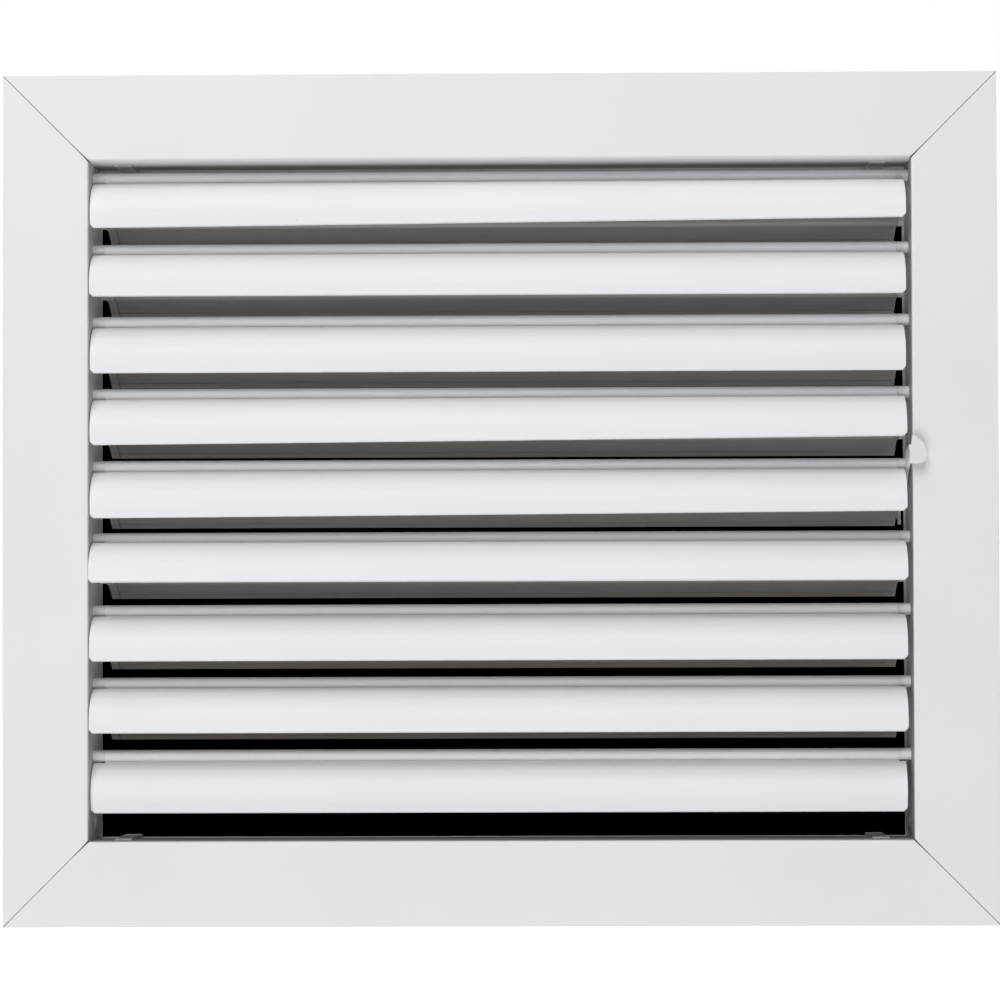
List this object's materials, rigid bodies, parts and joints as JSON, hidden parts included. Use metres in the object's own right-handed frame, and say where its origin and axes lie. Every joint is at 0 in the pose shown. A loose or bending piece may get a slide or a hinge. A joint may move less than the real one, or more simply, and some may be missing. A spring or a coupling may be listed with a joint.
{
  "type": "ceiling air outlet",
  "caption": "Rectangular white air register: mitred flange frame, curved blades that each turn on a top bead, and a ganged flat-blade damper behind, worked by a small lever.",
  "frame": {"origin": "middle of the opening, on the plane where the flange seats against the ceiling or wall", "axes": "+X along the blades to the right, +Y into the duct, +Z up across the blades; on a ceiling +Y points up"},
  "size_m": [0.35, 0.0453, 0.3],
  "materials": {
    "white_coat": "white powder coat, satin",
    "mill_aluminium": "bare mill aluminium",
    "nylon": "natural white nylon",
    "lever_plastic": "white moulded plastic",
    "zinc_steel": "zinc-plated sheet steel"
  },
  "bodies": {
    "frame": {"top_rail": "white_coat", "bottom_rail": "white_coat", "left_rail": "white_coat", "right_rail": "white_coat", "corner_key_top_left": "zinc_steel", "damper_clip_top_left": "zinc_steel", "corner_key_top_right": "zinc_steel", "damper_clip_top_right": "zinc_steel", "corner_key_bottom_left": "zinc_steel", "damper_clip_bottom_left": "zinc_steel", "corner_key_bottom_right": "zinc_steel", "damper_clip_bottom_right": "zinc_steel", "pivot_bushes_left": "nylon", "pivot_bushes_right": "nylon", "damper_rail_left": "mill_aluminium", "damper_rail_right": "mill_aluminium", "damper_rail_top": "mill_aluminium", "damper_rail_bottom": "mill_aluminium", "damper_bushes_right": "nylon"},
    "blade_1": {"blade_1": "white_coat"},
    "blade_2": {"blade_2": "white_coat"},
    "blade_3": {"blade_3": "white_coat"},
    "blade_4": {"blade_4": "white_coat"},
    "blade_5": {"blade_5": "white_coat"},
    "blade_6": {"blade_6": "white_coat"},
    "blade_7": {"blade_7": "white_coat"},
    "blade_8": {"blade_8": "white_coat"},
    "blade_9": {"blade_9": "white_coat"},
    "damper_1": {"damper_blade_1": "mill_aluminium", "damper_crank_1": "nylon"},
    "damper_2": {"damper_blade_2": "mill_aluminium", "damper_crank_2": "nylon"},
    "damper_3": {"damper_blade_3": "mill_aluminium", "damper_crank_3": "nylon"},
    "damper_4": {"damper_blade_4": "mill_aluminium", "damper_crank_4": "nylon"},
    "damper_5": {"damper_blade_5": "mill_aluminium", "damper_crank_5": "nylon", "drive_bracket": "zinc_steel"},
    "damper_6": {"damper_blade_6": "mill_aluminium", "damper_crank_6": "nylon"},
    "damper_7": {"damper_blade_7": "mill_aluminium", "damper_crank_7": "nylon"},
    "damper_8": {"damper_blade_8": "mill_aluminium", "damper_crank_8": "nylon"},
    "damper_9": {"damper_blade_9": "mill_aluminium", "damper_crank_9": "nylon"},
    "link": {"link_bar": "mill_aluminium"},
    "lever": {"damper_lever": "lever_plastic"}
  },
  "joints": [
    {"name": "blade_1_turn", "type": "hinge", "parent": "frame", "child": "blade_1", "pos_m": [0, 0.006, 0.1153], "axis": [1, 0, 0], "range_deg": [-35, 30]},
    {"name": "blade_2_turn", "type": "hinge", "parent": "frame", "child": "blade_2", "pos_m": [0, 0.006, 0.0896], "axis": [1, 0, 0], "range_deg": [-39.5, 36.5]},
    {"name": "blade_3_turn", "type": "hinge", "parent": "frame", "child": "blade_3", "pos_m": [0, 0.006, 0.0639], "axis": [1, 0, 0], "range_deg": [-46, 30]},
    {"name": "blade_4_turn", "type": "hinge", "parent": "frame", "child": "blade_4", "pos_m": [0, 0.006, 0.0382], "axis": [1, 0, 0], "range_deg": [-34.5, 31.5]},
    {"name": "blade_5_turn", "type": "hinge", "parent": "frame", "child": "blade_5", "pos_m": [0, 0.006, 0.0125], "axis": [1, 0, 0], "range_deg": [-37, 31]},
    {"name": "blade_6_turn", "type": "hinge", "parent": "frame", "child": "blade_6", "pos_m": [0, 0.006, -0.0132], "axis": [1, 0, 0], "range_deg": [-31, 45]},
    {"name": "blade_7_turn", "type": "hinge", "parent": "frame", "child": "blade_7", "pos_m": [0, 0.006, -0.0389], "axis": [1, 0, 0], "range_deg": [-40, 36]},
    {"name": "blade_8_turn", "type": "hinge", "parent": "frame", "child": "blade_8", "pos_m": [0, 0.006, -0.0646], "axis": [1, 0, 0], "range_deg": [-38, 38]},
    {"name": "blade_9_turn", "type": "hinge", "parent": "frame", "child": "blade_9", "pos_m": [0, 0.006, -0.0903], "axis": [1, 0, 0], "range_deg": [-53, 23]},
    {"name": "damper_1_turn", "type": "hinge", "parent": "frame", "child": "damper_1", "pos_m": [0, 0.0235, 0.1014], "axis": [-1, 0, 0], "range_deg": [-27, 53]},
    {"name": "damper_2_turn", "type": "hinge", "parent": "frame", "child": "damper_2", "pos_m": [0, 0.0235, 0.0757], "axis": [-1, 0, 0], "range_deg": [-27, 53]},
    {"name": "damper_3_turn", "type": "hinge", "parent": "frame", "child": "damper_3", "pos_m": [0, 0.0235, 0.05], "axis": [-1, 0, 0], "range_deg": [-27, 53]},
    {"name": "damper_4_turn", "type": "hinge", "parent": "frame", "child": "damper_4", "pos_m": [0, 0.0235, 0.0243], "axis": [-1, 0, 0], "range_deg": [-27, 53]},
    {"name": "damper_5_turn", "type": "hinge", "parent": "frame", "child": "damper_5", "pos_m": [0, 0.0235, -0.0014], "axis": [-1, 0, 0], "range_deg": [-27, 53]},
    {"name": "damper_6_turn", "type": "hinge", "parent": "frame", "child": "damper_6", "pos_m": [0, 0.0235, -0.0271], "axis": [-1, 0, 0], "range_deg": [-27, 53]},
    {"name": "damper_7_turn", "type": "hinge", "parent": "frame", "child": "damper_7", "pos_m": [0, 0.0235, -0.0528], "axis": [-1, 0, 0], "range_deg": [-27, 53]},
    {"name": "damper_8_turn", "type": "hinge", "parent": "frame", "child": "damper_8", "pos_m": [0, 0.0235, -0.0785], "axis": [-1, 0, 0], "range_deg": [-27, 53]},
    {"name": "damper_9_turn", "type": "hinge", "parent": "frame", "child": "damper_9", "pos_m": [0, 0.0235, -0.1042], "axis": [-1, 0, 0], "range_deg": [-27, 53]},
    {"name": "link_swing", "type": "hinge", "parent": "damper_5", "child": "link", "pos_m": [-0.1488, 0.0313, 0.0004], "axis": [1, 0, 0], "range_deg": [-27, 53]},
    {"name": "lever_turn", "type": "hinge", "parent": "frame", "child": "lever", "pos_m": [0.144, 0.006, 0.0125], "axis": [1, 0, 0], "range_deg": [-8.38, 16.44]}
  ],
  "couplings": [
    {"joint": "damper_1_turn", "follows": "damper_5_turn", "ratio": 1},
    {"joint": "damper_2_turn", "follows": "damper_5_turn", "ratio": 1},
    {"joint": "damper_3_turn", "follows": "damper_5_turn", "ratio": 1},
    {"joint": "damper_4_turn", "follows": "damper_5_turn", "ratio": 1},
    {"joint": "damper_6_turn", "follows": "damper_5_turn", "ratio": 1},
    {"joint": "damper_7_turn", "follows": "damper_5_turn", "ratio": 1},
    {"joint": "damper_8_turn", "follows": "damper_5_turn", "ratio": 1},
    {"joint": "damper_9_turn", "follows": "damper_5_turn", "ratio": 1},
    {"joint": "link_swing", "follows": "damper_5_turn", "ratio": 1},
    {"joint": "lever_turn", "follows": "damper_5_turn", "ratio": 0.31}
  ]
}
